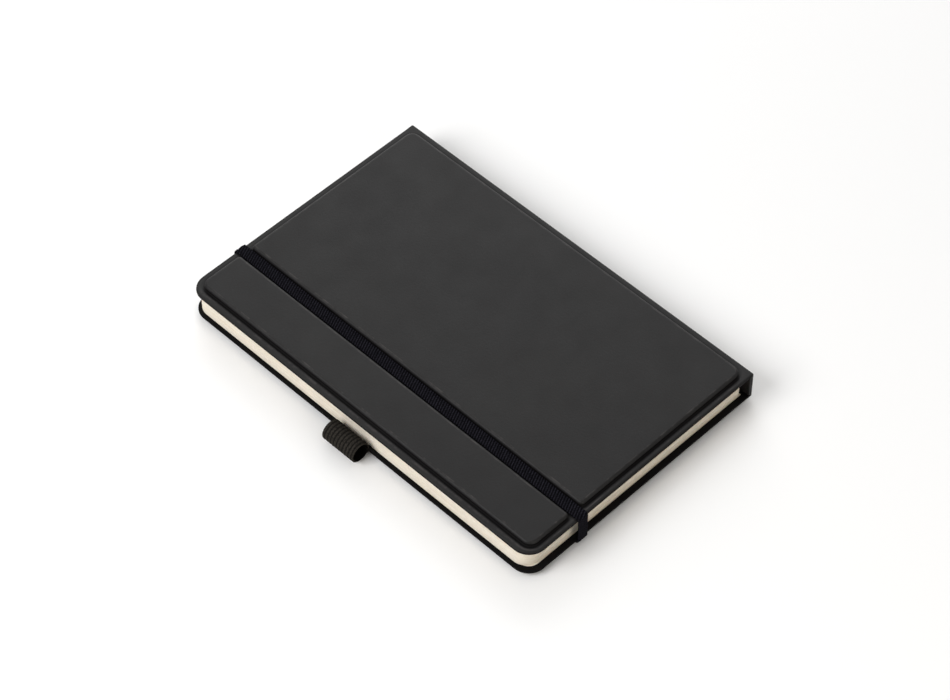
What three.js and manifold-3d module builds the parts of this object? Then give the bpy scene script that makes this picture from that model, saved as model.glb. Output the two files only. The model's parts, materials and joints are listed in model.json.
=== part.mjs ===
// A5 hardcover notebook: cover boards under a soft skin, twelve sewn sections of leaves,
// an elastic closing band round the head and tail edges, and an elastic pen loop on the fore edge.
//
// Millimetres, +Z up. X runs from the spine to the fore edge, Y from tail to head.
// The exported group's origin is the centre of the back cover's outer face, which is the rest face.

import * as THREE from 'three';
import { mergeVertices } from 'three/addons/utils/BufferGeometryUtils.js';
import Module from 'manifold-3d';

const wasm = await Module();
wasm.setup();

// ---- driving dimensions ----

const LENGTH = 210; // head to tail, the long side of an A5 sheet
const WIDTH = 138.5; // spine to fore edge, over the covers
const SKIN = 1; // thickness of the soft cover skin
const BOARD = 2; // space that the cover boards take under the skin
const LIP = 0.5; // skin turned in over the inner edge, as thick as the endpaper beside it
const BLOCK = 12; // thickness of the closed leaves
const GLUE = 0.05; // glue film left between stacked layers
const SPINE_CARD = 0.6; // thin card that stiffens the spine
const SPINE_LINER = 0.2;

const COVER_CORNER = 8.75; // radius of a cover's two fore-edge corners
const PANEL_MARGIN = 4; // from the cover's edge to a raised panel, at spine, head and tail
const PANEL_FORE_MARGIN = 4.8; // the same at the fore edge
const PANEL_CORNER = 4; // outer corner radius of a raised panel
const PANEL_INNER_CORNER = 1.4; // corner radius beside the channel
const PANEL_SOFTNESS = 0.7; // rounding of a raised panel's upper edge
const CHANNEL_START = 103.4; // the band's channel, measured from the spine
const CHANNEL_WIDTH = 7.8;

const SECTION_COUNT = 12;
const LEAF_START = 5.5; // from the spine's outer face to the sections' folds
const LEAF_FORE_OVERHANG = 2; // how far the covers stand past the leaves at the fore edge
const LEAF_HEAD_OVERHANG = 3.8; // more at the head, because the block sits nearer the tail
const LEAF_TAIL_OVERHANG = 1.4;
const LEAF_CORNER = 7.2;
const FLYLEAF = 0.15;
const SECTION_GAP = 0.06; // air between neighbouring sections
const LIP_WIDTH = 3; // width of the turned-in lip
const ENDPAPER_GAP = 0.2; // between the lip and the endpaper beside it
const BOARD_CLEARANCE = 0.25; // round a cover board, in its pocket
const LEAST_CORNER = 0.3; // smallest corner radius left when an outline is drawn in

const BAND_WIDTH = 6;
const BAND_THICKNESS = 0.9;
const BAND_CLEARANCE = 0.2; // from the cover's edge to the band beside it
const BAND_SPLIT = 4; // height where the band's free loop meets its fixed ends
const BAND_TUCK = 10; // how far a fixed end runs in under the back cover
const SLOT_CLEARANCE = 0.25; // round a fixed end's tongue, in its slot

const LOOP_LENGTH = 18.9;
const LOOP_BORE = 4; // radius that holds a pen
const LOOP_RADIUS = 5.1;
const LOOP_REACH = 4.7; // loop axis, out from the fore edge
const LOOP_HEIGHT = 6.1; // loop axis, above the rest face
const TAB_DEPTH = 4.6; // how far the tab runs into the back cover, up to the strip board
const TAB_RECESS = 0.4; // the skin gives way by this much over the tab
const TAB_CLEARANCE = 0.3; // round the tab, in its recess
const TAB_STAND_OUT = 0.15; // how far the tab stands out from the fore edge
const LOOP_STEPS = 32; // flats round the pen loop

// ---- heights, worked out from the stack ----

const LEAVES_BOTTOM = BOARD + SKIN + LIP;
const LEAVES_TOP = LEAVES_BOTTOM + BLOCK;
const RIM_BOTTOM = BOARD; // the back cover's rim stands this far above the rest face
const RIM_TOP = LEAVES_TOP + LIP + SKIN;
const CHANNEL_END = CHANNEL_START + CHANNEL_WIDTH;
const BAND_MIDDLE = (CHANNEL_START + CHANNEL_END) / 2;
const ARC_STEPS = 6;
const PAST = 1; // how far a cutting body reaches past what it cuts

// ---- materials ----

const matte = (color, roughness) => new THREE.MeshStandardMaterial({ color, roughness, metalness: 0 });
const softSkin = () => matte(0x3a3839, 0.55);
const greyBoard = () => matte(0x8a8175, 0.9);
const creamPaper = () => matte(0xe1d4c4, 0.85);
const endpaper = () => matte(0xe6dccd, 0.85);
const blackElastic = () => matte(0x16161a, 0.8);

// ---- helpers ----

// Rectangle with its own radius at each corner, anticlockwise from the spine and tail corner.
function outline(x0, y0, x1, y1, radii) {
  const [spineTail, foreTail, foreHead, spineHead] = radii;
  const quarter = Math.PI / 2;
  const shape = new THREE.Shape();
  shape.moveTo(x0 + spineTail, y0);
  shape.lineTo(x1 - foreTail, y0);
  if (foreTail > 0) shape.absarc(x1 - foreTail, y0 + foreTail, foreTail, -quarter, 0);
  shape.lineTo(x1, y1 - foreHead);
  if (foreHead > 0) shape.absarc(x1 - foreHead, y1 - foreHead, foreHead, 0, quarter);
  shape.lineTo(x0 + spineHead, y1);
  if (spineHead > 0) shape.absarc(x0 + spineHead, y1 - spineHead, spineHead, quarter, 2 * quarter);
  shape.lineTo(x0, y0 + spineTail);
  if (spineTail > 0) shape.absarc(x0 + spineTail, y0 + spineTail, spineTail, 2 * quarter, 3 * quarter);
  return shape;
}

// Flat slab of an outline between two heights.
function slab(shape, z0, z1) {
  const options = { depth: z1 - z0, bevelEnabled: false, curveSegments: ARC_STEPS };
  return new THREE.ExtrudeGeometry(shape, options).translate(0, 0, z0);
}

function block(x0, x1, y0, y1, z0, z1) {
  return slab(outline(x0, y0, x1, y1, [0, 0, 0, 0]), z0, z1);
}

// Profile drawn as (x, z), drawn out along Y from y0 to y1.
function alongLength(points, y0, y1) {
  const shape = new THREE.Shape(points.map(([x, z]) => new THREE.Vector2(x, z)));
  const geometry = new THREE.ExtrudeGeometry(shape, { depth: y1 - y0, bevelEnabled: false });
  return geometry.rotateX(Math.PI / 2).translate(0, y1, 0);
}

// Profile drawn as (y, z), drawn out along X, centred on the band.
function acrossBand(shape) {
  const options = { depth: BAND_WIDTH, bevelEnabled: false, curveSegments: ARC_STEPS };
  const geometry = new THREE.ExtrudeGeometry(shape, options);
  geometry.rotateZ(Math.PI / 2).rotateY(Math.PI / 2);
  return geometry.translate(BAND_MIDDLE - BAND_WIDTH / 2, 0, 0);
}

function toSolid(geometry) {
  const bare = geometry.clone();
  bare.deleteAttribute('normal');
  bare.deleteAttribute('uv');
  const merged = mergeVertices(bare, 1e-4);
  const vertProperties = new Float32Array(merged.attributes.position.array);
  const triVerts = new Uint32Array(merged.index.array);
  return new wasm.Manifold(new wasm.Mesh({ numProp: 3, vertProperties, triVerts }));
}

function toGeometry(solid) {
  const mesh = solid.getMesh();
  const geometry = new THREE.BufferGeometry();
  geometry.setAttribute('position', new THREE.BufferAttribute(mesh.vertProperties, 3));
  geometry.setIndex(new THREE.BufferAttribute(mesh.triVerts, 1));
  geometry.computeVertexNormals();
  return geometry;
}

function joined(first, ...others) {
  return others.reduce((solid, geometry) => solid.add(toSolid(geometry)), toSolid(first));
}

function cut(solid, ...geometries) {
  return geometries.reduce((rest, geometry) => rest.subtract(toSolid(geometry)), solid);
}

function piece(name, geometry, material) {
  const mesh = new THREE.Mesh(geometry, material);
  mesh.name = name;
  return mesh;
}

// ---- covers ----
// A cover is made outer face up, with its skin's inner face at z = 0 and its hinge edge on x = 0.

const PANEL = { x0: PANEL_MARGIN, x1: CHANNEL_START, outerAtFore: false };
const STRIP = { x0: CHANNEL_END, x1: WIDTH - PANEL_FORE_MARGIN, outerAtFore: true };

// Outline of a raised panel, drawn in by inset on every side.
function panelOutline({ x0, x1, outerAtFore }, inset) {
  const spine = Math.max((outerAtFore ? PANEL_INNER_CORNER : PANEL_CORNER) - inset, LEAST_CORNER);
  const fore = Math.max((outerAtFore ? PANEL_CORNER : PANEL_INNER_CORNER) - inset, LEAST_CORNER);
  const y0 = PANEL_MARGIN + inset;
  const y1 = LENGTH - PANEL_MARGIN - inset;
  return outline(x0 + inset, y0, x1 - inset, y1, [spine, fore, fore, spine]);
}

// Raised panel with a soft upper edge. Its lower edge is buried in the rim.
function raisedPanel(panel) {
  const bottom = SKIN / 5;
  const options = {
    depth: BOARD + SKIN - bottom - 2 * PANEL_SOFTNESS,
    bevelThickness: PANEL_SOFTNESS,
    bevelSize: PANEL_SOFTNESS,
    bevelOffset: -PANEL_SOFTNESS,
    bevelSegments: 3,
    curveSegments: ARC_STEPS,
  };
  const geometry = new THREE.ExtrudeGeometry(panelOutline(panel, 0), options);
  return geometry.translate(0, 0, bottom + PANEL_SOFTNESS);
}

function boardPocket(panel) {
  return slab(panelOutline(panel, SKIN), -LIP - PAST, BOARD);
}

// Skin of one cover: flat rim, two raised panels with a channel between them, pockets for the
// boards, and a lip turned in along the fore, head and tail edges. The hinge edge is mitred.
function coverSkin() {
  const corners = [0, COVER_CORNER, COVER_CORNER, 0];
  const rim = slab(outline(0, 0, WIDTH, LENGTH, corners), 0, SKIN);
  const lip = slab(outline(PANEL_MARGIN, 0, WIDTH, LENGTH, corners), -LIP, SKIN / 2);
  const lipCorner = COVER_CORNER - LIP_WIDTH;
  const lipHole = outline(
    -PAST,
    LIP_WIDTH,
    WIDTH - LIP_WIDTH,
    LENGTH - LIP_WIDTH,
    [0, lipCorner, lipCorner, 0],
  );
  const below = -LIP - PAST;
  const mitre = [[-PAST, below], [SKIN - below + GLUE, below], [GLUE, SKIN], [-PAST, SKIN]];
  return cut(
    joined(rim, lip, raisedPanel(PANEL), raisedPanel(STRIP)),
    slab(lipHole, below, 0),
    boardPocket(PANEL),
    boardPocket(STRIP),
    alongLength(mitre, -PAST, LENGTH + PAST),
  );
}

function coverBoard(panel) {
  const inset = SKIN + BOARD_CLEARANCE;
  return slab(panelOutline(panel, inset), GLUE, BOARD - GLUE);
}

// Endpaper glued inside the cover, within the turned-in lip.
function pastedown() {
  const inset = LIP_WIDTH + ENDPAPER_GAP;
  const corner = COVER_CORNER - inset;
  const shape = outline(PANEL_MARGIN, inset, WIDTH - inset, LENGTH - inset, [0, corner, corner, 0]);
  return slab(shape, -LIP + GLUE, -GLUE);
}

function cover(side, skin) {
  const group = new THREE.Group();
  group.add(piece(`${side}_cover_skin`, toGeometry(skin), softSkin()));
  group.add(piece(`${side}_panel_board`, coverBoard(PANEL), greyBoard()));
  group.add(piece(`${side}_strip_board`, coverBoard(STRIP), greyBoard()));
  group.add(piece(`${side}_pastedown`, pastedown(), endpaper()));
  return group;
}

function frontCover() {
  const group = cover('front', coverSkin());
  group.position.z = LEAVES_TOP + LIP;
  return group;
}

// The back cover is the same cover turned over, with slots for the band's ends in its channel
// and a recess for the pen loop's tab in the middle of its fore edge.
function backCover() {
  const slotX = BAND_WIDTH / 2 + SLOT_CLEARANCE;
  const slotOuter = BAND_TUCK - BAND_THICKNESS - SLOT_CLEARANCE;
  const slotInner = BAND_TUCK + SLOT_CLEARANCE;
  const slot = (y0, y1) => block(
    BAND_MIDDLE - slotX,
    BAND_MIDDLE + slotX,
    y0,
    y1,
    -PAST,
    SKIN + PAST,
  );
  const halfTab = LOOP_LENGTH / 2 + TAB_CLEARANCE;
  const recess = block(
    WIDTH - TAB_DEPTH - TAB_CLEARANCE,
    WIDTH + PAST,
    LENGTH / 2 - halfTab,
    LENGTH / 2 + halfTab,
    -LIP - PAST,
    TAB_RECESS,
  );
  const tailSlot = slot(slotOuter, slotInner);
  const headSlot = slot(LENGTH - slotInner, LENGTH - slotOuter);
  const group = cover('back', cut(coverSkin(), tailSlot, headSlot, recess));
  group.rotation.x = Math.PI;
  group.position.set(0, LENGTH, RIM_BOTTOM + SKIN);
  return group;
}

// ---- spine ----

// The spine stands between the covers. Its skin is mitred to theirs at both folds.
function spine() {
  const group = new THREE.Group();
  const skinProfile = [
    [0, RIM_BOTTOM + GLUE],
    [SKIN, RIM_BOTTOM + SKIN + GLUE],
    [SKIN, RIM_TOP - SKIN - GLUE],
    [0, RIM_TOP - GLUE],
  ];
  const foldGap = 1.3; // bare skin left at each fold, so that it can bend
  const endGap = 1; // the card and its liner stop short of the skin's head and tail edges
  const bottom = RIM_BOTTOM + foldGap;
  const top = RIM_TOP - foldGap;
  const cardX = SKIN + GLUE;
  const linerX = cardX + SPINE_CARD + GLUE;
  const card = block(cardX, cardX + SPINE_CARD, endGap, LENGTH - endGap, bottom, top);
  const liner = block(linerX, linerX + SPINE_LINER, endGap, LENGTH - endGap, bottom, top);
  group.add(piece('spine_skin', alongLength(skinProfile, 0, LENGTH), softSkin()));
  group.add(piece('spine_card', card, greyBoard()));
  group.add(piece('spine_liner', liner, endpaper()));
  return group;
}

// ---- leaves ----

function leafSlab(z0, z1) {
  const fore = WIDTH - LEAF_FORE_OVERHANG;
  const head = LENGTH - LEAF_HEAD_OVERHANG;
  const corners = [0, LEAF_CORNER, LEAF_CORNER, 0];
  return slab(outline(LEAF_START, LEAF_TAIL_OVERHANG, fore, head, corners), z0, z1);
}

// Twelve folded sections between two flyleaves, counted up from the back cover.
function leaves() {
  const group = new THREE.Group();
  const bottom = LEAVES_BOTTOM + FLYLEAF + 2 * GLUE;
  const top = LEAVES_TOP - FLYLEAF - 2 * GLUE;
  const pitch = (top - bottom) / SECTION_COUNT;
  for (let i = 0; i < SECTION_COUNT; i += 1) {
    const name = `section_${String(i + 1).padStart(2, '0')}`;
    const z0 = bottom + i * pitch;
    group.add(piece(name, leafSlab(z0, z0 + pitch - SECTION_GAP), creamPaper()));
  }
  const backFlyleaf = leafSlab(LEAVES_BOTTOM + GLUE, LEAVES_BOTTOM + GLUE + FLYLEAF);
  const frontFlyleaf = leafSlab(LEAVES_TOP - GLUE - FLYLEAF, LEAVES_TOP - GLUE);
  group.add(piece('back_flyleaf', backFlyleaf, endpaper()));
  group.add(piece('front_flyleaf', frontFlyleaf, endpaper()));
  return group;
}

// ---- closing band ----

// Free loop of the band: along the front cover's channel, and down past the head and tail edges.
function bandLoop() {
  const quarter = Math.PI / 2;
  const inner = 0.3; // inside radius where the band turns over the cover's edge
  const outer = inner + BAND_THICKNESS;
  const low = -BAND_CLEARANCE;
  const high = LENGTH + BAND_CLEARANCE;
  const under = RIM_TOP + GLUE;
  const bend = under - inner; // height of the turns' centres
  const shape = new THREE.Shape();
  shape.moveTo(high, BAND_SPLIT + GLUE);
  shape.lineTo(high + BAND_THICKNESS, BAND_SPLIT + GLUE);
  shape.absarc(high - inner, bend, outer, 0, quarter);
  shape.absarc(low + inner, bend, outer, quarter, 2 * quarter);
  shape.lineTo(low - BAND_THICKNESS, BAND_SPLIT + GLUE);
  shape.lineTo(low, BAND_SPLIT + GLUE);
  shape.absarc(low + inner, bend, inner, 2 * quarter, quarter, true);
  shape.absarc(high - inner, bend, inner, quarter, 0, true);
  return acrossBand(shape);
}

// Fixed end of the band: round the back cover's edge, in along its channel, and up into its slot.
// Sign is 1 for the head's edge and -1 for the tail's.
function bandEnd(edge, sign) {
  const at = (distance) => edge + sign * distance; // distance out from the cover's edge
  const top = RIM_BOTTOM - GLUE;
  const bottom = top - BAND_THICKNESS;
  const outside = BAND_CLEARANCE + BAND_THICKNESS;
  const tongueTop = RIM_BOTTOM + SKIN - GLUE;
  const softened = 0.4; // the outer turn's flattened corner
  const points = [
    [at(BAND_CLEARANCE), BAND_SPLIT - GLUE],
    [at(outside), BAND_SPLIT - GLUE],
    [at(outside), bottom + softened],
    [at(outside - softened), bottom],
    [at(-BAND_TUCK), bottom],
    [at(-BAND_TUCK), tongueTop],
    [at(-BAND_TUCK + BAND_THICKNESS), tongueTop],
    [at(-BAND_TUCK + BAND_THICKNESS), top],
    [at(BAND_CLEARANCE), top],
  ];
  return acrossBand(new THREE.Shape(points.map(([y, z]) => new THREE.Vector2(y, z))));
}

function band() {
  const group = new THREE.Group();
  group.add(piece('band_loop', bandLoop(), blackElastic()));
  group.add(piece('band_end_head', bandEnd(LENGTH, 1), blackElastic()));
  group.add(piece('band_end_tail', bandEnd(0, -1), blackElastic()));
  return group;
}

// ---- pen loop ----

function penLoop() {
  const group = new THREE.Group();
  const ring = [
    [LOOP_BORE, 0],
    [LOOP_RADIUS, 0],
    [LOOP_RADIUS, LOOP_LENGTH],
    [LOOP_BORE, LOOP_LENGTH],
    [LOOP_BORE, 0],
  ];
  const tube = new THREE.LatheGeometry(ring.map(([r, y]) => new THREE.Vector2(r, y)), LOOP_STEPS);
  const mesh = piece('pen_loop', tube, blackElastic());
  const y0 = LENGTH / 2 - LOOP_LENGTH / 2;
  mesh.position.set(WIDTH + LOOP_REACH, y0, LOOP_HEIGHT);
  group.add(mesh);

  const low = RIM_BOTTOM + SKIN - TAB_RECESS + GLUE;
  const middle = RIM_BOTTOM + SKIN - GLUE;
  const high = LEAVES_BOTTOM - GLUE;
  const start = WIDTH - TAB_DEPTH;
  const step = WIDTH - LIP_WIDTH + ENDPAPER_GAP;
  const end = WIDTH + TAB_STAND_OUT;
  const tab = [[start, low], [end, low], [end, high], [step, high], [step, middle], [start, middle]];
  group.add(piece('pen_loop_tab', alongLength(tab, y0, y0 + LOOP_LENGTH), blackElastic()));
  return group;
}

// ---- the notebook ----

const notebook = new THREE.Group();
notebook.position.set(-WIDTH / 2, -LENGTH / 2, 0);
notebook.add(backCover(), spine(), leaves(), frontCover(), band(), penLoop());

const root = new THREE.Group();
root.add(notebook);
export default root;
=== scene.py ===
"""Looks of an A5 hardcover notebook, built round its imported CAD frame.

The closed book lies on its back cover. X runs from the spine to the fore edge, Y from tail to head.
"""

import json
import math
import random

import bmesh
import bpy
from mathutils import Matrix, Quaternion, Vector
from mathutils.geometry import delaunay_2d_cdt


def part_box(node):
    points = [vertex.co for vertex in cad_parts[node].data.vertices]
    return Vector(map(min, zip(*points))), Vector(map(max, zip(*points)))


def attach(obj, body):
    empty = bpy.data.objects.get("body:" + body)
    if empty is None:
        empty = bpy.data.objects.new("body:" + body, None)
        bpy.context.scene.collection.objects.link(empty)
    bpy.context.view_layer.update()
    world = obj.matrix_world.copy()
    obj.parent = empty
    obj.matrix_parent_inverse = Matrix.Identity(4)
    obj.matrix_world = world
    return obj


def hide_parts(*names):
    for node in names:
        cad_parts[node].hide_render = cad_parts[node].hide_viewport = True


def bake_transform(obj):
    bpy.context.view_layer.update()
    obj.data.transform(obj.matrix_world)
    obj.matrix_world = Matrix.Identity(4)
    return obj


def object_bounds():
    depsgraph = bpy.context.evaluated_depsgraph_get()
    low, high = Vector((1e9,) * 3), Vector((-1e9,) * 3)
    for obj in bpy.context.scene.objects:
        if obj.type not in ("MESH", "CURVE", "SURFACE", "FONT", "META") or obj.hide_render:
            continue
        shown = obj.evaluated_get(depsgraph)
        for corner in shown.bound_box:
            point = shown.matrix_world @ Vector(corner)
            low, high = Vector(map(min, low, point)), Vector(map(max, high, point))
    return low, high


MM = 0.001
QUARTER = math.pi / 2
LEAST_RADIUS = 0.05 * MM  # smallest radius a corner is drawn with
MERGE = 0.001 * MM  # vertices closer than this are one
SHARP = 50  # degrees between two faces, from which their edge is shaded sharp

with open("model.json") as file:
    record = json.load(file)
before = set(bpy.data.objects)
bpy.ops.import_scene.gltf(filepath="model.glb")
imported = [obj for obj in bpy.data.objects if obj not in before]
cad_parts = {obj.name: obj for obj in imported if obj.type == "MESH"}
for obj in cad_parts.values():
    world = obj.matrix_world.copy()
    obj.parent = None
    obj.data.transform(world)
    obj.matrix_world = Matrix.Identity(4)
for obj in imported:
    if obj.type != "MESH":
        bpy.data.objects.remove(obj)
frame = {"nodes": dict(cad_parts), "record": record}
cad_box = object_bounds()

# ---- places, from the frame ----

BACK_LOW, BACK_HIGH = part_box("back_cover_skin")
FRONT_LOW, FRONT_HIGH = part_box("front_cover_skin")
SPINE_LOW, SPINE_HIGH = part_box("spine_skin")
LEAF_LOW, LEAF_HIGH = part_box("section_01")
BAND_LOW, BAND_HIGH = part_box("band_loop")
BAND_END_LOW, BAND_END_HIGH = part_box("band_end_head")
LOOP_LOW, LOOP_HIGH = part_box("pen_loop")

WIDTH = FRONT_HIGH.x - FRONT_LOW.x
LENGTH = FRONT_HIGH.y - FRONT_LOW.y
SPINE_MIDDLE = (SPINE_LOW.z + SPINE_HIGH.z) / 2
TAB_MIDDLE = (LOOP_LOW.y + LOOP_HIGH.y) / 2 - BACK_LOW.y  # along the cover, from its tail
TAB_HALF_LENGTH = (LOOP_HIGH.y - LOOP_LOW.y) / 2

# ---- sizes of the skin ----

SKIN = 1.0 * MM
LIP = 0.5 * MM  # extra thickness where the skin is turned in at the edges
LIP_WIDTH = 3.0 * MM
LIP_STEP = 0.05 * MM  # width of the step at the lip's inner edge
LIP_START = 2.0 * MM  # from the spine, where the lip begins to thicken
LIP_FULL = 4.0 * MM  # where it has its full thickness
RISE = 2.0 * MM  # raised panel above the rim
EDGE_ROUND = 0.55 * MM  # depth of the outer rounding at the free edges
EDGE_WIDTH = 0.8 * MM  # how far in that rounding starts
OUTER_LIP_SHARE = 0.6  # how much of the lip's thickness the outer rounding takes up
INNER_ROUND = 0.35 * MM
SWELL = 1.8 * MM  # how far the skin stands up over the pen loop's tab
SWELL_WIDTH = 1.8 * MM  # how far in from the edge it does
SWELL_RUN_OUT = 7.0 * MM  # beyond the tab's ends
SWELL_REACH = 16.0 * MM  # either side of the cover's middle, where its points are drawn close together
FOLD_ROUND = 0.55 * MM  # outer radius of the fold between spine and cover
FOLD_REACH = 1.2 * MM  # the fold's zone, either side of the corner
FOLD_FLAT = 0.25  # share of its rows on the flat, either side of its rounding
COVER_CORNER = 8.75 * MM
PANEL_CORNER = 4.0 * MM
PANEL_INNER_CORNER = 1.4 * MM  # beside the band's channel
BOARD_INSET = 1.25 * MM  # panel outline to board outline
TOP_WIDTH = 1.3 * MM  # rounding of a raised panel's upper edge
TOP_HEIGHT = 1.4 * MM
WALL_OUTSET = 0.35 * MM  # where the wall is steepest, past the panel's outline
FOOT_WIDTH = 0.75 * MM  # from there down into the groove at the foot
GROOVE = 0.3 * MM  # depth of that groove below the rim
GROOVE_END = 2.1 * MM  # where the groove has risen to the rim
ROLL = 2.7 * MM  # crest of the rim, where a lighter colour is painted on as a highlight
ROLL_PAINTED_HIGHLIGHT = 0.9
SUPPORT = 0.3 * MM  # flat border kept beside each rounding, so that flats shade flat
SLOT_CLEARANCE = 0.3 * MM  # round the band's end
SLOT_WIDTH = 1.6 * MM
SLOT_CORNER = 0.4 * MM
RIM_OUTER_FRONT = FRONT_HIGH.z - RISE
RIM_OUTER_BACK = BACK_LOW.z + RISE


# ---- mesh helpers ----


class Shell:
    """Vertices and faces of one piece, made row by row."""

    def __init__(self):
        self.vertices = []
        self.relief = []
        self.faces = []

    def loop(self, points, relief=None):
        """Adds a row of vertices. Relief is 1 on ridges and rubbed edges, where the materials paint a
        lighter colour: a painted highlight, with some wear on the skin's edges. It is -1 where it is
        matt.
        """
        start = len(self.vertices)
        self.vertices.extend(tuple(p) for p in points)
        count = len(self.vertices) - start
        self.relief.extend([0.0] * count if relief is None else relief)
        return list(range(start, start + count))

    def bridge(self, a, b, closed=True):
        """Faces between two rows of equal length."""
        count = len(a) if closed else len(a) - 1
        for i in range(count):
            j = (i + 1) % len(a)
            self.faces.append((a[i], a[j], b[j], b[i]))

    def stack(self, loops, closed=True):
        """Faces between each row and the next."""
        for a, b in zip(loops, loops[1:]):
            self.bridge(a, b, closed)

    def cap(self, loop):
        """One flat face across a row."""
        self.faces.append(tuple(loop))

    def fill(self, outer, holes):
        """Flat face inside a row, with holes left open. A triangle inside a hole is also inside
        the outer row, so only those inside a single row are kept."""
        corners, outlines = [], []
        for ring in (outer, *holes):
            outlines.append([len(corners) + k for k in range(len(ring))])
            corners.extend(ring)
        flat = [Vector(self.vertices[i][:2]) for i in corners]
        only_inside, closeness = 1, 1e-9
        result = delaunay_2d_cdt(flat, [], outlines, only_inside, closeness)
        _, _, triangles, sources, _, insides = result
        for triangle, inside in zip(triangles, insides):
            if len(inside) == 1:
                self.faces.append(tuple(corners[sources[k][0]] for k in triangle))

    def build(self, name, material, sharp=SHARP):
        """The finished piece, closed, with its relief stored on its vertices."""
        mesh = bpy.data.meshes.new(name)
        mesh.from_pydata(self.vertices, [], self.faces)
        work = bmesh.new()
        work.from_mesh(mesh)
        layer = work.verts.layers.float.new("relief")
        for vertex, value in zip(work.verts, self.relief):
            vertex[layer] = value
        bmesh.ops.remove_doubles(work, verts=work.verts, dist=MERGE)
        bmesh.ops.recalc_face_normals(work, faces=work.faces)
        work.to_mesh(mesh)
        work.free()
        mesh.shade_smooth()
        mesh.set_sharp_from_angle(angle=math.radians(sharp))
        mesh.materials.append(material)
        piece = bpy.data.objects.new(name, mesh)
        bpy.context.scene.collection.objects.link(piece)
        return piece


def arc(centre, radius, start, end, steps):
    """Points on an arc from angle start to angle end, both included."""
    for i in range(steps + 1):
        a = start + (end - start) * i / steps
        yield centre[0] + radius * math.cos(a), centre[1] + radius * math.sin(a)


def rounded_rectangle(x0, y0, x1, y1, radii, steps=8):
    """Anticlockwise outline from its low corner, with one radius per corner."""
    r0, r1, r2, r3 = [max(r, LEAST_RADIUS) for r in radii]
    corners = [
        ((x0 + r0, y0 + r0), r0, 2),
        ((x1 - r1, y0 + r1), r1, 3),
        ((x1 - r2, y1 - r2), r2, 0),
        ((x0 + r3, y1 - r3), r3, 1),
    ]
    points = []
    for centre, radius, turn in corners:
        points.extend(arc(centre, radius, turn * QUARTER, (turn + 1) * QUARTER, steps))
    return points


def evenly(first, last, step):
    """Places from first to last, both included, that far apart."""
    count = round((last - first) / step)
    return [first + step * i for i in range(count + 1)]


def smoothstep(t):
    """Rises gently from 0 to 1 as t does, and stays level on either side."""
    t = min(max(t, 0.0), 1.0)
    return t * t * (3 - 2 * t)


# ---- materials ----


class Recipe:
    """A node material, made step by step."""

    def __init__(self, name):
        self.material = bpy.data.materials.new(name)
        self.material.use_nodes = True
        self.nodes = self.material.node_tree.nodes
        self.links = self.material.node_tree.links
        self.surface = self.nodes["Principled BSDF"]
        self.place = self.nodes.new("ShaderNodeTexCoord").outputs["Object"]

    def link(self, output, node, socket):
        """Joins an output to one of a node's inputs."""
        self.links.new(output, node.inputs[socket])

    def set(self, **values):
        """Sets inputs of the surface, with _ for each blank in a name."""
        for key, value in values.items():
            self.surface.inputs[key.replace("_", " ")].default_value = value

    def scaled(self, scale):
        """The place on the piece, scaled along each axis."""
        node = self.nodes.new("ShaderNodeMapping")
        node.inputs["Scale"].default_value = scale
        self.link(self.place, node, "Vector")
        return node.outputs["Vector"]

    def noise(self, scale, detail=3.0, stretch=(1, 1, 1), roughness=0.5):
        """Noise from 0 to 1, finer for a larger scale."""
        node = self.nodes.new("ShaderNodeTexNoise")
        node.inputs["Scale"].default_value = scale
        node.inputs["Detail"].default_value = detail
        node.inputs["Roughness"].default_value = roughness
        self.link(self.scaled(stretch), node, "Vector")
        return node.outputs["Fac"]

    def ramp(self, value, low, high, low_at=0.0, high_at=1.0):
        """Colour from low to high, as value goes from low_at to high_at."""
        node = self.nodes.new("ShaderNodeValToRGB")
        first, last = node.color_ramp.elements
        first.position, last.position = low_at, high_at
        first.color, last.color = (*low, 1), (*high, 1)
        self.link(value, node, "Fac")
        return node.outputs["Color"]

    def ranged(self, value, to_low, to_high, low=0.0, high=1.0):
        """Value from low to high, changed to run from to_low to to_high."""
        node = self.nodes.new("ShaderNodeMapRange")
        node.inputs["From Min"].default_value = low
        node.inputs["From Max"].default_value = high
        node.inputs["To Min"].default_value = to_low
        node.inputs["To Max"].default_value = to_high
        self.link(value, node, "Value")
        return node.outputs["Result"]

    def math(self, operation, a, b=0.0):
        """An operation's result on two values or numbers."""
        node = self.nodes.new("ShaderNodeMath")
        node.operation = operation
        for socket, value in enumerate((a, b)):
            if isinstance(value, (int, float)):
                node.inputs[socket].default_value = value
            else:
                self.links.new(value, node.inputs[socket])
        return node.outputs["Value"]

    def mix(self, factor, a, b):
        """Colour a where factor is 0, and colour b where it is 1."""
        node = self.nodes.new("ShaderNodeMix")
        node.data_type = "RGBA"
        self.link(factor, node, "Factor")
        for name, value in (("A", a), ("B", b)):
            socket = next(s for s in node.inputs if s.name == name and s.type == "RGBA")
            if isinstance(value, tuple):
                socket.default_value = (*value, 1)
            else:
                self.links.new(value, socket)
        return next(s for s in node.outputs if s.type == "RGBA")

    def bump(self, height, depth, after=None):
        """Normal that makes height stand up by depth, on top of an earlier bump."""
        node = self.nodes.new("ShaderNodeBump")
        node.inputs["Strength"].default_value = 1.0
        node.inputs["Distance"].default_value = depth
        self.link(height, node, "Height")
        if after is not None:
            self.link(after, node, "Normal")
        return node.outputs["Normal"]

    def finish(self, colour, roughness, normal):
        """Joins the last three values to the surface."""
        self.link(colour, self.surface, "Base Color")
        self.link(roughness, self.surface, "Roughness")
        self.link(normal, self.surface, "Normal")
        return self.material


def srgb(red, green, blue):
    """Linear colour of an 8-bit screen colour."""
    linear = []
    for value in (red, green, blue):
        c = value / 255
        linear.append(c / 12.92 if c <= 0.04045 else ((c + 0.055) / 1.055) ** 2.4)
    return tuple(linear)


def relief_of(recipe):
    """The relief that Shell stores on a piece's vertices."""
    node = recipe.nodes.new("ShaderNodeAttribute")
    node.attribute_name = "relief"
    return node.outputs["Fac"]


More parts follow.
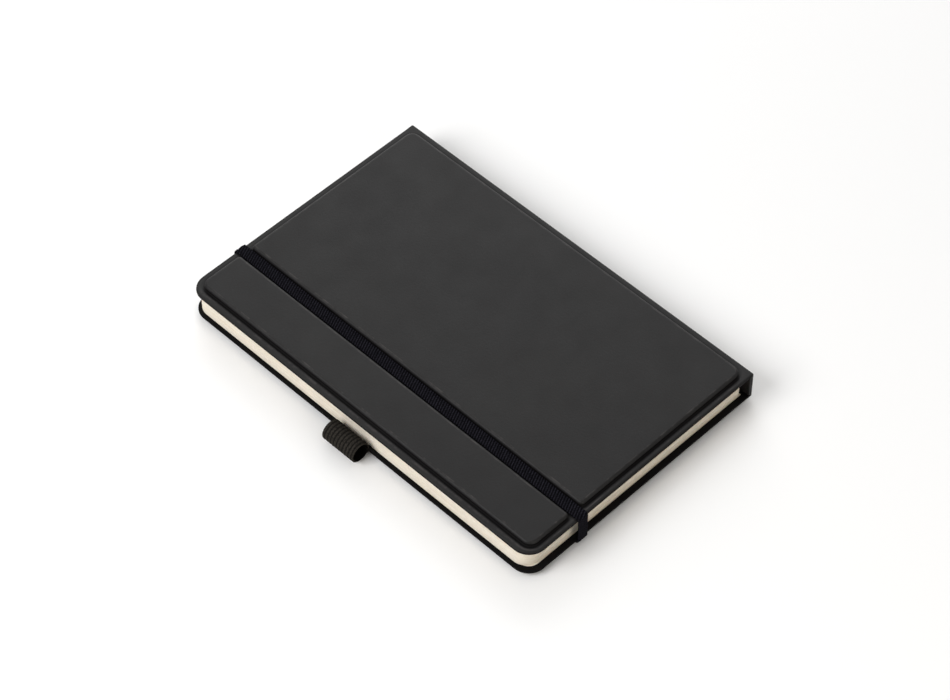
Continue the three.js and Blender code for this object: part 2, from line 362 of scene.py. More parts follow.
def soft_skin():
    """Charcoal soft-touch skin: fine grain and faint clouding. The panels' upper edges get a lighter
    colour that is partly wear and partly painted highlight, and the rim's crest gets a painted
    highlight.
    """
    recipe = Recipe("soft_touch_skin")
    cloud = recipe.noise(26, 4)
    base = recipe.ramp(cloud, srgb(16, 15, 16), srgb(20, 19, 19), 0.3, 0.7)
    relief = relief_of(recipe)
    # Where relief is positive the colour is painted lighter: a highlight on the panel edges and the
    # rim's crest, with some wear, broken up by speckle.
    speckle = recipe.ranged(recipe.noise(160, 5, roughness=0.65), 0.1, 0.8, 0.48, 0.64)
    wear_and_painted_highlight = recipe.math("MULTIPLY", recipe.ranged(relief, 0, 1), speckle)
    colour = recipe.mix(wear_and_painted_highlight, base, srgb(60, 57, 56))
    grain = recipe.noise(2600, 4, roughness=0.6)
    pores = recipe.noise(900, 2)
    normal = recipe.bump(grain, 0.03 * MM)
    normal = recipe.bump(pores, 0.04 * MM, normal)
    roughness = recipe.ranged(recipe.noise(60, 3), 0.53, 0.6, 0.3, 0.7)
    shine = recipe.ranged(relief, 0.03, 0.3, -1.0, 0.0)
    recipe.link(shine, recipe.surface, "Specular IOR Level")
    return recipe.finish(colour, roughness, normal)


def paper(name, low, high, layers):
    """Uncoated paper with fibres. Layers paints faint tan lines of shade between the leaves' edges, on
    upright faces.
    """
    recipe = Recipe(name)
    fibre = recipe.noise(700, 5, roughness=0.7)
    tone = recipe.ramp(fibre, low, high, 0.3, 0.7)
    if layers:
        lines = recipe.noise(300, 2, stretch=(0.1, 0.1, 12))
        facing = recipe.nodes.new("ShaderNodeNewGeometry").outputs["Normal"]
        split = recipe.nodes.new("ShaderNodeSeparateXYZ")
        recipe.link(facing, split, "Vector")
        upright = recipe.ranged(recipe.math("ABSOLUTE", split.outputs["Z"]), 1.0, 0.0, 0.3, 0.6)
        shade = recipe.math("MULTIPLY", recipe.ranged(lines, 0.0, 0.6, 0.42, 0.62), upright)
        # Painted shade: warm tan lines between the leaves, on the upright edges only.
        tone = recipe.mix(shade, tone, srgb(207, 189, 160))
    recipe.set(Specular_IOR_Level=0.2, Subsurface_Weight=0.06, Subsurface_Scale=1 * MM)
    rough = recipe.ranged(recipe.noise(200, 2), 0.82, 0.95)
    return recipe.finish(tone, rough, recipe.bump(fibre, 0.02 * MM))


def grey_board():
    """Pressed grey board with flecks of pulp."""
    recipe = Recipe("grey_board")
    flecks = recipe.noise(900, 6, roughness=0.75)
    tone = recipe.ramp(flecks, srgb(112, 104, 94), srgb(158, 150, 138), 0.3, 0.7)
    rough = recipe.ranged(flecks, 0.85, 0.97)
    return recipe.finish(tone, rough, recipe.bump(flecks, 0.05 * MM))


def elastic(name, dark, light):
    """Black woven elastic. The ribs are in the mesh, and their ridges are painted lighter as a
    highlight, from the relief on the vertices.
    """
    recipe = Recipe(name)
    yarn = recipe.noise(1500, 4, roughness=0.7)
    fuzz = recipe.ranged(yarn, 0.1, 1.8, 0.36, 0.64)
    # Painted highlight: ridges lighter, hollows darker.
    tone = recipe.mix(recipe.math("MULTIPLY", relief_of(recipe), fuzz), dark, light)
    recipe.set(Specular_IOR_Level=0.03)
    rough = recipe.ranged(yarn, 0.7, 0.95)
    return recipe.finish(tone, rough, recipe.bump(yarn, 0.08 * MM))


SKIN_LOOK = soft_skin()
LEAF_LOOK = paper("leaf_paper", srgb(227, 218, 205), srgb(239, 231, 219), True)
ENDPAPER_LOOK = paper("endpaper", srgb(228, 217, 200), srgb(240, 231, 216), False)
# Near-black paper for the spine's liner: painted shade, so the hollow at the spine's ends shows dark.
LINER_LOOK = paper("spine_liner_painted_shade", srgb(24, 22, 21), srgb(34, 31, 30), False)
BOARD_LOOK = grey_board()
# The second colour of each elastic is the painted highlight on its ridges.
BAND_LOOK = elastic("band_elastic", srgb(2, 2, 4), srgb(37, 36, 43))
LOOP_LOOK = elastic("loop_elastic", srgb(11, 10, 10), srgb(50, 47, 43))


# ---- covers ----
# A cover is drawn in x and y from its hinge and tail corner, with depth measured inwards from the
# rim's outer face, so a raised panel has negative depth. The sheet runs on past the fold, down to
# the middle of the spine.


def lip_at(x):
    """Thickness of the turned-in lip, that far from the spine."""
    return LIP * smoothstep((x - LIP_START) / (LIP_FULL - LIP_START))


def edge_profile():
    """A cover's free edges, from the outer face round to the inner one: inset, depth, share of
    the lip's thickness, share of the swelling over the pen loop's tab, and relief."""
    steps = 6
    points = [(EDGE_WIDTH + SUPPORT, 0.0, 0, 0, 0)]
    for i in range(steps + 1):
        a = QUARTER * i / steps
        drop = 1 - math.cos(a)
        inset = EDGE_WIDTH * (1 - math.sin(a))
        points.append((inset, EDGE_ROUND * drop, OUTER_LIP_SHARE * drop, 0, -drop))
    for i in range(steps + 1):
        a = QUARTER * i / steps
        inset = INNER_ROUND * (1 - math.cos(a))
        depth = SKIN - INNER_ROUND * (1 - math.sin(a))
        points.append((inset, depth, 1, 1, -1))
    points.append((INNER_ROUND + SUPPORT, SKIN, 1, 0.95, -1))
    points.append((SWELL_WIDTH * 0.7, SKIN, 1, 0.7, -1))
    points.append((SWELL_WIDTH, SKIN, 1, 0, -1))
    points.append((LIP_WIDTH, SKIN, 1, 0, -1))
    points.append((LIP_WIDTH + LIP_STEP, SKIN, 0, 0, -1))
    return points


def swell_at(y):
    """Swelling of the back cover's fore edge, over the pen loop's tab."""
    past_tab = abs(y - TAB_MIDDLE) - TAB_HALF_LENGTH
    return SWELL * smoothstep(1 - past_tab / SWELL_RUN_OUT)


def free_edge_path(inset):
    """Round the free edges: along the tail, round the fore edge and back along the head. Points
    are close together where the lip thickens and where the skin swells."""
    radius = COVER_CORNER - inset
    corner_x = WIDTH - COVER_CORNER
    corner_steps = 12
    by_spine = [FOLD_REACH, *evenly(1.5 * MM, 5.0 * MM, 0.5 * MM), 20 * MM]
    tail = [(x, inset) for x in by_spine]
    head = [(x, LENGTH - inset) for x in reversed(by_spine)]
    low = list(arc((corner_x, COVER_CORNER), radius, -QUARTER, 0, corner_steps))
    high = list(arc((corner_x, LENGTH - COVER_CORNER), radius, 0, QUARTER, corner_steps))
    by_tab = evenly(LENGTH / 2 - SWELL_REACH, LENGTH / 2 + SWELL_REACH, 1.0 * MM)
    fore = [(corner_x + radius, y) for y in by_tab]
    return tail + low + fore + high + head


def panel_outline(board, outset):
    """Outline of the raised panel over a board, moved out by outset."""
    low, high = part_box(board)
    grow = BOARD_INSET + outset
    by_fold = "strip" not in board
    spine_corner = PANEL_CORNER if by_fold else PANEL_INNER_CORNER
    fore_corner = PANEL_INNER_CORNER if by_fold else PANEL_CORNER
    x0 = low.x - FRONT_LOW.x - grow
    x1 = high.x - FRONT_LOW.x + grow
    y0 = low.y - FRONT_LOW.y - grow
    y1 = high.y - FRONT_LOW.y + grow
    radii = [spine_corner + outset, fore_corner + outset, fore_corner + outset, spine_corner + outset]
    return rounded_rectangle(x0, y0, x1, y1, radii)


def press_along(outline):
    """How deep the groove round a panel is pressed: full on its head and fore sides, and only lightly
    on the other two. The same share scales the painted highlight on the rim's crest and how matt the
    groove is."""
    least = 0.15
    shares = []
    for i in range(len(outline)):
        x0, y0 = outline[i - 1]
        x1, y1 = outline[(i + 1) % len(outline)]
        outward = ((y1 - y0) - (x1 - x0)) / math.hypot(x1 - x0, y1 - y0)
        shares.append(least + (1 - least) * smoothstep(outward))
    return shares


def panel_profile():
    """Outset, depth and relief of a raised panel's edge, from the rim up to its top."""
    steps = 8
    bottom = WALL_OUTSET + FOOT_WIDTH
    foot_height = RISE - TOP_HEIGHT + GROOVE
    # The first two rings carry a painted highlight along the rim's crest, in the skin's colour.
    points = [(ROLL, 0.0, ROLL_PAINTED_HIGHLIGHT), (GROOVE_END + SUPPORT / 2, 0.0, ROLL_PAINTED_HIGHLIGHT * 2 / 3)]
    for i in range(steps):
        share = i / steps
        points.append((GROOVE_END + (bottom - GROOVE_END) * share, GROOVE * smoothstep(share), -share))
    for i in range(steps + 1):
        a = QUARTER * i / steps
        depth = GROOVE - foot_height * (1 - math.cos(a))
        points.append((bottom - FOOT_WIDTH * math.sin(a), depth, -1.0))
    for i in range(1, steps + 1):
        a = QUARTER * i / steps
        outset = WALL_OUTSET - TOP_WIDTH * (1 - math.cos(a))
        depth = -RISE + TOP_HEIGHT * (1 - math.sin(a))
        # The crest of the top rounding is painted lighter: wear and painted highlight.
        points.append((outset, depth, math.sin(a) ** 12))
    points.append((WALL_OUTSET - TOP_WIDTH - SUPPORT, -RISE, 0.0))
    return points


def fold_point(share, depth):
    """Place in x and depth on the fold, for share 0 on the cover's side to 1 on the spine's."""
    radius = max(FOLD_ROUND - depth, LEAST_RADIUS)
    start = depth + radius
    if share <= FOLD_FLAT:
        return FOLD_REACH + (start - FOLD_REACH) * share / FOLD_FLAT, depth
    past_round = share - (1 - FOLD_FLAT)
    if past_round >= 0:
        return depth, start + (FOLD_REACH - start) * past_round / FOLD_FLAT
    a = (share - FOLD_FLAT) / (1 - 2 * FOLD_FLAT) * QUARTER
    return start - radius * math.sin(a), start - radius * math.cos(a)


def fold_strip(shell, place, reach_down):
    """The fold and half of the spine, as cross-sections from the cover to the spine's middle."""
    tail = [(inset, depth) for inset, depth, *_ in edge_profile()]
    head = [(LENGTH - inset, depth) for inset, depth in reversed(tail)]
    section = tail + head
    fold_steps = 16
    rings = []
    for i in range(fold_steps + 1):
        ring = []
        for y, depth in section:
            x, z = fold_point(i / fold_steps, depth)
            ring.append(place(x, y, z))
        rings.append(shell.loop(ring))
    for drop in (2.0 * MM, 4.0 * MM, reach_down):
        rings.append(shell.loop([place(depth, y, drop) for y, depth in section]))
    shell.stack(rings)
    shell.cap(rings[-1])


def free_edge(shell, place, swollen):
    """The sheet's rounded free edge, as rows from its outer face round to its inner one."""
    rows = []
    for inset, depth, lip, swell, relief in edge_profile():
        points = []
        for x, y in free_edge_path(inset):
            lift = swell_at(y) if swollen and x > WIDTH - COVER_CORNER else 0.0
            points.append(place(x, y, depth + lip * lip_at(x) + swell * lift))
        rows.append(shell.loop(points, [relief] * len(points)))
    shell.stack(rows, closed=False)
    return rows


def raised_panel(shell, place, board):
    """The outer side over a board, with the groove round it. Returns its outermost row."""
    rows = []
    for outset, depth, relief in panel_profile():
        outline = panel_outline(board, outset)
        press = press_along(outline)
        below = max(depth, 0.0)
        points = [place(x, y, depth - below * (1 - k)) for (x, y), k in zip(outline, press)]
        # Relief on the top rounding stays whole; elsewhere the press scales it, so the painted
        # highlight on the rim's crest is strongest on the head and fore sides.
        on_top = relief > 0 > depth
        rows.append(shell.loop(points, [relief if on_top else relief * k for k in press]))
    shell.stack(rows)
    shell.cap(rows[-1])
    return rows[0]


def board_pocket(shell, place, board):
    """The space behind a raised panel that holds its board. Returns its mouth."""
    outline = panel_outline(board, -SKIN)
    mouth = shell.loop([place(x, y, SKIN) for x, y in outline])
    bottom = shell.loop([place(x, y, SKIN - RISE) for x, y in outline])
    shell.bridge(mouth, bottom)
    shell.cap(bottom)
    return mouth


def cover_skin(name, place, boards, swollen):
    """One cover's skin, with its half of the spine, as a single closed sheet."""
    shell = Shell()
    rows = free_edge(shell, place, swollen)
    shell.fill(rows[0], [raised_panel(shell, place, board) for board in boards])
    shell.fill(rows[-1], [board_pocket(shell, place, board) for board in boards])
    fold_strip(shell, place, SPINE_MIDDLE - RIM_OUTER_BACK)
    return shell.build(name, SKIN_LOOK)


def place_front(x, y, depth):
    """A point of the front cover, in the frame."""
    return FRONT_LOW.x + x, FRONT_LOW.y + y, RIM_OUTER_FRONT - depth


def place_back(x, y, depth):
    """A point of the back cover, in the frame."""
    return BACK_LOW.x + x, BACK_LOW.y + y, RIM_OUTER_BACK + depth


def cut(piece, cutter):
    """Takes the cutter's volume out of a piece, and removes the cutter."""
    modifier = piece.modifiers.new("cut", "BOOLEAN")
    modifier.object = cutter
    modifier.operation = "DIFFERENCE"
    modifier.solver = "EXACT"
    result = piece.evaluated_get(bpy.context.evaluated_depsgraph_get())
    mesh = bpy.data.meshes.new_from_object(result)
    mesh.set_sharp_from_angle(angle=math.radians(SHARP))
    piece.modifiers.clear()
    piece.data = mesh
    bpy.data.objects.remove(cutter)


def cut_band_slots(piece):
    """Slots in the back cover where the band's two ends go in."""
    x0 = BAND_END_LOW.x - BACK_LOW.x - SLOT_CLEARANCE
    x1 = BAND_END_HIGH.x - BACK_LOW.x + SLOT_CLEARANCE
    inner = BAND_END_LOW.y - BACK_LOW.y - SLOT_CLEARANCE
    outer = inner + SLOT_WIDTH
    for y0, y1 in ((inner, outer), (LENGTH - outer, LENGTH - inner)):
        outline = rounded_rectangle(x0, y0, x1, y1, [SLOT_CORNER] * 4, 4)
        shell = Shell()
        outside = shell.loop([place_back(x, y, -RISE) for x, y in outline])
        inside = shell.loop([place_back(x, y, RISE) for x, y in outline])
        shell.bridge(outside, inside)
        shell.cap(outside)
        shell.cap(inside)
        cut(piece, shell.build("slot_cutter", SKIN_LOOK))


def spine_turn_ins():
    """Skin folded in over the ends of the spine's card, at head and tail."""
    card_low, card_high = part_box("spine_card")
    liner_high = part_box("spine_liner")[1]
    gap = 0.04 * MM
    reach = 0.72 * MM
    margin = 0.1 * MM
    past_liner = 0.12 * MM
    rounding = 0.3 * MM
    corner = 0.2 * MM
    steps = 5
    x0, x1 = SPINE_HIGH.x - gap, liner_high.x + past_liner
    z0, z1 = card_low.z - margin, card_high.z + margin
    for end, face, sign in (("head", card_high.y, 1), ("tail", card_low.y, -1)):
        shell = Shell()
        rings = []
        for step in range(steps + 1):
            a = QUARTER * step / steps
            y = face + sign * (gap + reach * math.sin(a))
            inset = rounding * (1 - math.cos(a))
            outline = rounded_rectangle(x0, z0, x1 - inset, z1, [corner] * 4, 4)
            rings.append(shell.loop([(x, y, z) for x, z in outline]))
        shell.stack(rings)
        shell.cap(rings[0])
        shell.cap(rings[-1])
        piece = shell.build(f"spine_turn_in_{end}", SKIN_LOOK)
        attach(piece, "spine")


def covers():
    """Both covers' skins. Each bends in its fold, and they meet in the middle of the spine."""
    front = cover_skin("front_skin", place_front, ["front_panel_board", "front_strip_board"], False)
    back = cover_skin("back_skin", place_back, ["back_panel_board", "back_strip_board"], True)
    cut_band_slots(back)
    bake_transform(front)
    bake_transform(back)
    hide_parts("front_cover_skin")
    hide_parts("back_cover_skin", "spine_skin")


# ---- leaves ----

LEAVES_PER_SECTION = 8
LEAF_CORNER = 7.2 * MM
LEAF_SHARE = 0.86  # of a leaf's pitch that is paper; the rest is the gap to the next leaf
FOLD_BULGE = 1.0 * MM  # how far a section's sewn fold swells toward the spine
EDGE_JITTER = 0.07 * MM  # unevenness of the trimmed edges
PAPER_SHARP = 30  # degrees


def leaf_stations(fore):
    """Places across a leaf, closer together by the fold and where its corners turn."""
    fold = LEAF_LOW.x - FOLD_BULGE
    by_fold = evenly(fold + 0.4 * MM, fold + 7.2 * MM, 0.4 * MM)
    corner_steps = 10
    turns = [QUARTER * i / corner_steps for i in range(corner_steps + 1)]
    return by_fold + [fore - LEAF_CORNER * (1 - math.sin(a)) for a in turns]


def add_leaf(shell, z0, z1, rng):
    """One thin leaf, trimmed a hair unevenly."""
    fore = LEAF_HIGH.x - rng.uniform(0, EDGE_JITTER)
    tail = LEAF_LOW.y + rng.uniform(0, EDGE_JITTER)
    head = LEAF_HIGH.y - rng.uniform(0, EDGE_JITTER)
    rings = []
    for x in leaf_stations(fore):
        past = max(x - (fore - LEAF_CORNER), 0.0) / LEAF_CORNER
        inset = LEAF_CORNER * (1 - math.sqrt(max(1 - past * past, 0.0)))
        y0, y1 = tail + inset, head - inset
        corners = [(y0, z0), (y1, z0), (y1, z1), (y0, z1)]
        rings.append(shell.loop([(x, y, z) for y, z in corners]))
    shell.stack(rings)
    shell.cap(rings[0])
    shell.cap(rings[-1])


def add_fold(shell, z0, z1):
    """Rounded fold that a section's leaves share, along the spine."""
    radius = (z1 - z0) / 2
    centre = (LEAF_LOW.x - FOLD_BULGE + radius, z0 + radius)
    half = list(arc(centre, radius, QUARTER, 3 * QUARTER, 8))
    ends = [[(x, y, z) for x, z in half] for y in (LEAF_LOW.y, LEAF_HIGH.y)]
    tail, head = [shell.loop(points) for points in ends]
    shell.bridge(tail, head)
    shell.cap(tail)
    shell.cap(head)


def curl(piece):
    """Bakes the piece's transform into its mesh; the leaves are not curled here."""
    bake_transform(piece)


def rest_on(piece, body):
    """Leaves of the fixed lower half ride on the back cover; the others have their transform baked."""
    if body == "back":
        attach(piece, body)
    else:
        curl(piece)


def body_of_node(node):
    """The body that a CAD node belongs to."""
    bodies = frame["record"]["behaviour"]["bodies"]
    return next(body for body, nodes in bodies.items() if node in nodes)


def sections():
    """Each sewn section: its fold, and its leaves one by one."""
    rng = random.Random(12)
    for node in sorted(n for n in frame["nodes"] if n.startswith("section_")):
        low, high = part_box(node)
        shell = Shell()
        add_fold(shell, low.z, high.z)
        pitch = (high.z - low.z) / LEAVES_PER_SECTION
        for i in range(LEAVES_PER_SECTION):
            z0 = low.z + i * pitch
            add_leaf(shell, z0, z0 + pitch * LEAF_SHARE, rng)
        piece = shell.build(node.replace("section", "sewn_section"), LEAF_LOOK, PAPER_SHARP)
        rest_on(piece, body_of_node(node))
        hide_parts(node)


def flyleaves():
    """The endpapers' free leaves, at the front and back of the block."""
    rng = random.Random(3)
    for side in ("front", "back"):
        node = f"{side}_flyleaf"
        low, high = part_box(node)
        shell = Shell()
        add_leaf(shell, low.z, high.z, rng)
        piece = shell.build(f"flyleaf_{side}", ENDPAPER_LOOK, PAPER_SHARP)
        rest_on(piece, body_of_node(node))
        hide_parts(node)


# ---- closing band ----

BAND_THICKNESS = 0.9 * MM
BAND_WIDTH = BAND_HIGH.x - BAND_LOW.x
BAND_BEND = 1.4 * MM  # centreline radius where the band turns round the covers' edges
TONGUE_BEND = 0.75 * MM  # the same where it turns up into its slot
BAND_SLANT = 0.45  # how far a rib runs on along the band, for each unit across it
BAND_STEP = 0.16 * MM  # how far it is set off between one cord and the next
CORDS = 5  # elastic cords side by side in the weave
CORD_DEPTH = 0.14  # share of the thickness lost between two cords
BAND_RIB = 1.3 * MM  # from one rib to the next
BAND_RIB_DEPTH = 0.3 * MM
BAND_SHARP = 80  # degrees, so that ribs shade soft


def line_to(points, end, step):
    """Extends a path in a straight line, in steps no longer than step."""
    y0, z0 = points[-1]
    length = math.hypot(end[0] - y0, end[1] - z0)
    count = max(1, math.ceil(length / step))
    for i in range(1, count + 1):
        points.append((y0 + (end[0] - y0) * i / count, z0 + (end[1] - z0) * i / count))


def band_path():
    """Centreline in y and z, from the tongue in the head slot round to the tongue in the tail slot."""
    half = BAND_THICKNESS / 2
    step = BAND_RIB / 6
    tongue_steps, edge_steps = 6, 10
    out = BAND_HIGH.y - half
    top = BAND_HIGH.z - half
    bottom = BAND_END_LOW.z + half
    tongue = BAND_END_LOW.y + half
    r = TONGUE_BEND
    points = [(tongue, BAND_END_HIGH.z)]
    line_to(points, (tongue, bottom + r), step)
    points += list(arc((tongue + r, bottom + r), r, 2 * QUARTER, 3 * QUARTER, tongue_steps))[1:]
    r = BAND_BEND
    line_to(points, (out - r, bottom), step)
    points += list(arc((out - r, bottom + r), r, -QUARTER, 0, edge_steps))[1:]
    line_to(points, (out, top - r), step)
    points += list(arc((out - r, top - r), r, 0, QUARTER, edge_steps))[1:]
    middle = (BAND_LOW.y + BAND_HIGH.y) / 2
    line_to(points, (middle, top), step)
    mirrored = [(2 * middle - y, z) for y, z in reversed(points[:-1])]
    return points + mirrored


def band_section():
    """Cross-section across the band: offset along its width, and share of its half thickness."""
    half_width = BAND_WIDTH / 2
    count = 20
    across = [-math.cos(math.pi * i / count) for i in range(count + 1)]
    upper = []
    for a in across:
        edge = max(1 - abs(a) ** 10, 0.0) ** 0.5
        cords = 1 - CORD_DEPTH + CORD_DEPTH * math.cos(CORDS * math.pi * a)
        upper.append((a * half_width, edge * cords))
    lower = [(x, -t) for x, t in reversed(upper[1:-1])]
    return upper + lower


def weave_at(travelled, x):
    """Height of the weave, 0 to 1, that far along the band and that far across it."""
    step = BAND_STEP * math.cos(2 * CORDS * math.pi * x / BAND_WIDTH)
    lead = travelled + BAND_SLANT * x + step
    return (1 + math.cos(2 * math.pi * lead / BAND_RIB)) / 2


def closing_band():
    """The band with both its tongues, swept along its path as one woven strip."""
    shell = Shell()
    path = band_path()
    middle_x = (BAND_LOW.x + BAND_HIGH.x) / 2
    section = band_section()
    rings = []
    travelled = 0.0
    for i, (y, z) in enumerate(path):
        before = path[max(i - 1, 0)]
        after = path[min(i + 1, len(path) - 1)]
        travelled += math.hypot(y - before[0], z - before[1])
        along = Vector((after[0] - before[0], after[1] - before[1])).normalized()
        ring, relief = [], []
        for x, share in section:
            ridge = weave_at(travelled, x)
            reach = share * (BAND_THICKNESS / 2 - BAND_RIB_DEPTH * (1 - ridge))
            ring.append((middle_x + x, y - along.y * reach, z + along.x * reach))
            # The relief paints the rib ridges lighter as a highlight.
            relief.append(ridge**2 * abs(share))
        rings.append(shell.loop(ring, relief))
    shell.stack(rings)
    shell.cap(rings[0])
    shell.cap(rings[-1])
    band = shell.build("closing_band", BAND_LOOK, BAND_SHARP)
    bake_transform(band)
    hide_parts("band_loop", "band_end_head", "band_end_tail")


# ---- pen loop ----

LOOP_WALL = 1.1 * MM
LOOP_RIBS = 10.5
LOOP_RIB_DEPTH = 0.22 * MM
LOOP_END_ROUND = 0.5 * MM  # rounding at the tube's two ends, along it
LOOP_END_SHARE = 0.45  # share of the wall's thickness that this rounding takes off
LOOP_FLARE = 0.25 * MM  # how far the bore opens at its ends
LOOP_PULL = 0.35 * MM  # how far the tube is drawn out toward its tab
LOOP_ROWS = 84  # along the tube, enough to draw its ribs
LOOP_SHARP = 70  # degrees
TAB_RIB_DEPTH = 0.12 * MM

# The tab where it goes into the tube: how far past the cover's fore edge, and how much higher than
# inside the cover. The top goes out, and the underside comes back.
TAB_TOP = ((-0.5 * MM, 0.8 * MM), (0.1 * MM, 1.5 * MM), (0.75 * MM, 1.9 * MM))
TAB_UNDERSIDE = ((0.95 * MM, 0.05 * MM), (0.1 * MM, 0.0))


def loop_rib(share):
    """Height of the pen loop's ribs, 0 to 1, at a share of its length."""
    return abs(math.sin(math.pi * LOOP_RIBS * share)) ** 0.6


def loop_profile(radius, length):
    """Place along the tube, radius and relief: out along its ribbed outside, back along its bore."""
    profile = []
    for i in range(LOOP_ROWS + 1):
        share = i / LOOP_ROWS
        end = min(share, 1 - share) * length
        off_full = 1 - min(end / LOOP_END_ROUND, 1.0)
        soft = math.sqrt(max(1 - off_full**2, 0.0))
        rib = loop_rib(share)
        outer = radius - LOOP_RIB_DEPTH * (1 - rib) - LOOP_END_SHARE * LOOP_WALL * (1 - soft)
        # rib**2 as relief paints the ribs' ridges lighter as a highlight.
        profile.append((share * length, outer, rib**2))
    inner_rows = 12
    for i in range(inner_rows + 1):
        share = 1 - i / inner_rows
        flare = LOOP_FLARE * abs(2 * share - 1) ** 8
        profile.append((share * length, radius - LOOP_WALL + flare, 0.0))
    return profile


def pen_loop():
    """Ribbed elastic tube, drawn out a little toward the tab that holds it."""
    shell = Shell()
    centre_x = (LOOP_LOW.x + LOOP_HIGH.x) / 2
    centre_z = (LOOP_LOW.z + LOOP_HIGH.z) / 2
    radius = (LOOP_HIGH.z - LOOP_LOW.z) / 2
    profile = loop_profile(radius, LOOP_HIGH.y - LOOP_LOW.y)
    relief = [ridge for *_, ridge in profile]
    tab_z = BACK_HIGH.z - LIP / 2 - 0.1 * MM
    tab_angle = math.atan2(tab_z - centre_z, BACK_HIGH.x - centre_x)
    steps = 72
    rings = []
    for k in range(steps):
        a = 2 * math.pi * k / steps
        pull = LOOP_PULL * max(math.cos(a - tab_angle), 0.0) ** 12
        ring = []
        for i, (along, r, _) in enumerate(profile):
            outside = i <= LOOP_ROWS
            reach = r + (pull if outside else 0.0)
            x = centre_x + reach * math.cos(a)
            z = centre_z + reach * math.sin(a)
            ring.append((x, LOOP_LOW.y + along, z))
        rings.append(shell.loop(ring, relief))
    shell.stack(rings + [rings[0]])
    loop = shell.build("pen_loop_elastic", LOOP_LOOK, LOOP_SHARP)
    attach(loop, "pen_loop")
    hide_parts("pen_loop")


def pen_loop_tab():
    """The loop's joined ends, going in at the back cover's fore edge."""
    shell = Shell()
    low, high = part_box("pen_loop_tab")
    fore = BACK_HIGH.x
    rings = []
    for i in range(LOOP_ROWS + 1):
        share = i / LOOP_ROWS
        y = low.y + share * (high.y - low.y)
        ridge = loop_rib(share)
        top = high.z - TAB_RIB_DEPTH * (1 - ridge)
        ring = [(low.x, y, top)]
        ring.extend((fore + past, y, top + lift) for past, lift in TAB_TOP)
        ring.extend((fore + past, y, low.z + lift) for past, lift in TAB_UNDERSIDE)
        ring.append((low.x, y, low.z))
        # Half the relief: the tab's rib ridges are painted a little lighter as a highlight.
        rings.append(shell.loop(ring, [ridge * 0.5] * len(ring)))
    shell.stack(rings)
    shell.cap(rings[0])
    shell.cap(rings[-1])
    tab = shell.build("pen_loop_joined_ends", LOOP_LOOK)
    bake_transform(tab)
    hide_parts("pen_loop_tab")


# ---- carried-over CAD nodes ----


def dress_cad_nodes():
    """Looks for the CAD nodes that stay as they are, found by the last word of their names."""
    looks = {
        "pastedown": ENDPAPER_LOOK,
        "board": BOARD_LOOK,
        "card": BOARD_LOOK,
        "liner": LINER_LOOK,
    }
    for node, piece in frame["nodes"].items():
        for word, look in looks.items():
            if node.endswith(word):
                piece.data.materials.clear()
                piece.data.materials.append(look)


# ---- stage, light and camera ----


def floor():
    """Plain pale floor under the notebook."""
    mesh = bpy.data.meshes.new("floor")
    side = 6.0
    z = cad_box[0].z
    corners = [(-side, -side, z), (side, -side, z), (side, side, z), (-side, side, z)]
    mesh.from_pydata(corners, [], [(0, 1, 2, 3)])
    piece = bpy.data.objects.new("floor", mesh)
    bpy.context.scene.collection.objects.link(piece)
    material = bpy.data.materials.new("pale_floor")
    material.use_nodes = True
    surface = material.node_tree.nodes["Principled BSDF"]
    surface.inputs["Base Color"].default_value = (0.93, 0.93, 0.93, 1)
    surface.inputs["Roughness"].default_value = 0.9
    mesh.materials.append(material)


def area_light(name, azimuth, elevation, distance, size, power, colour=(1, 1, 1)):
    """Square lamp facing the notebook, from an azimuth and elevation in degrees."""
    a, e = math.radians(azimuth), math.radians(elevation)
    data = bpy.data.lights.new(name, "AREA")
    data.size = size
    data.energy = power
    data.color = colour
    lamp = bpy.data.objects.new(name, data)
    back = Vector((math.sin(a) * math.cos(e), -math.cos(a) * math.cos(e), math.sin(e)))
    lamp.location = back * distance
    lamp.rotation_euler = back.to_track_quat("Z", "Y").to_euler()
    bpy.context.scene.collection.objects.link(lamp)


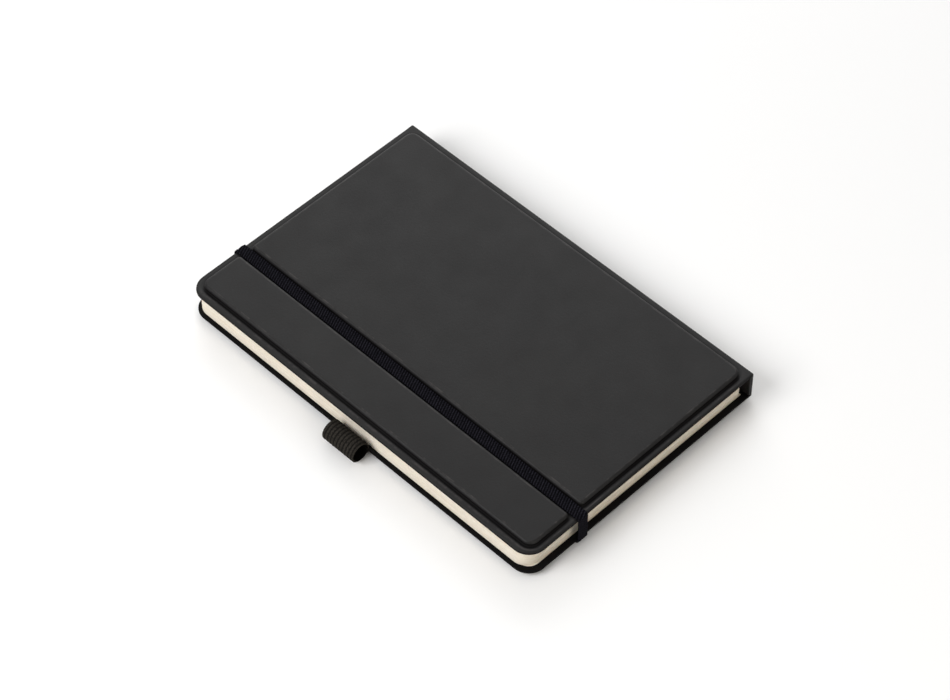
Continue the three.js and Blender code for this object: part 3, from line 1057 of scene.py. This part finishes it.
def sky():
    """White surroundings, brighter above the spine and tail than toward the camera."""
    world = bpy.data.worlds.new("studio")
    world.use_nodes = True
    nodes, links = world.node_tree.nodes, world.node_tree.links
    background = nodes["Background"]
    background.inputs["Color"].default_value = (1, 1, 1, 1)
    facing = nodes.new("ShaderNodeVectorMath")
    facing.operation = "DOT_PRODUCT"
    facing.inputs[1].default_value = Vector((-1, -1, 1)).normalized()
    links.new(nodes.new("ShaderNodeTexCoord").outputs["Generated"], facing.inputs[0])
    strength = nodes.new("ShaderNodeMapRange")
    strength.inputs["From Min"].default_value = -0.3
    strength.inputs["From Max"].default_value = 0.9
    strength.inputs["To Min"].default_value = 0.22
    strength.inputs["To Max"].default_value = 0.62
    links.new(facing.outputs["Value"], strength.inputs["Value"])
    links.new(strength.outputs["Result"], background.inputs["Strength"])
    bpy.context.scene.world = world


def lights():
    """A key from the fore edge, a low strip from the spine and tail, and a warm fill from the head."""
    warm = (1.0, 0.94, 0.84)
    area_light("key", azimuth=75, elevation=40, distance=1.4, size=0.8, power=14)
    area_light("back_strip", azimuth=-45, elevation=25, distance=1.3, size=1.0, power=8)
    area_light("head_fill", azimuth=170, elevation=20, distance=1.4, size=0.8, power=6, colour=warm)


def camera():
    """Looks down at the fore and head corner, from 135 degrees round and 51 degrees up, with
    colours shown as they are."""
    azimuth, elevation, roll = math.radians(135.17), math.radians(50.6), math.radians(-0.37)
    distance = 1.348
    target = Vector((1.5 * MM, 6.0 * MM, 9.5 * MM))
    flat = math.cos(elevation)
    back = Vector((math.sin(azimuth) * flat, -math.cos(azimuth) * flat, math.sin(elevation)))
    data = bpy.data.cameras.new("camera")
    data.sensor_width = 36
    data.lens = 117.2
    data.clip_start = 0.05
    data.clip_end = 50
    eye = bpy.data.objects.new("camera", data)
    eye.location = target + back * distance
    eye.rotation_mode = "QUATERNION"
    turn = (-back).to_track_quat("-Z", "Y")
    eye.rotation_quaternion = turn @ Quaternion((0, 0, 1), roll)
    bpy.context.scene.collection.objects.link(eye)
    bpy.context.scene.camera = eye
    bpy.context.scene.view_settings.view_transform = "Standard"


covers()
spine_turn_ins()
sections()
flyleaves()
closing_band()
pen_loop()
pen_loop_tab()
dress_cad_nodes()
floor()
sky()
lights()
camera()
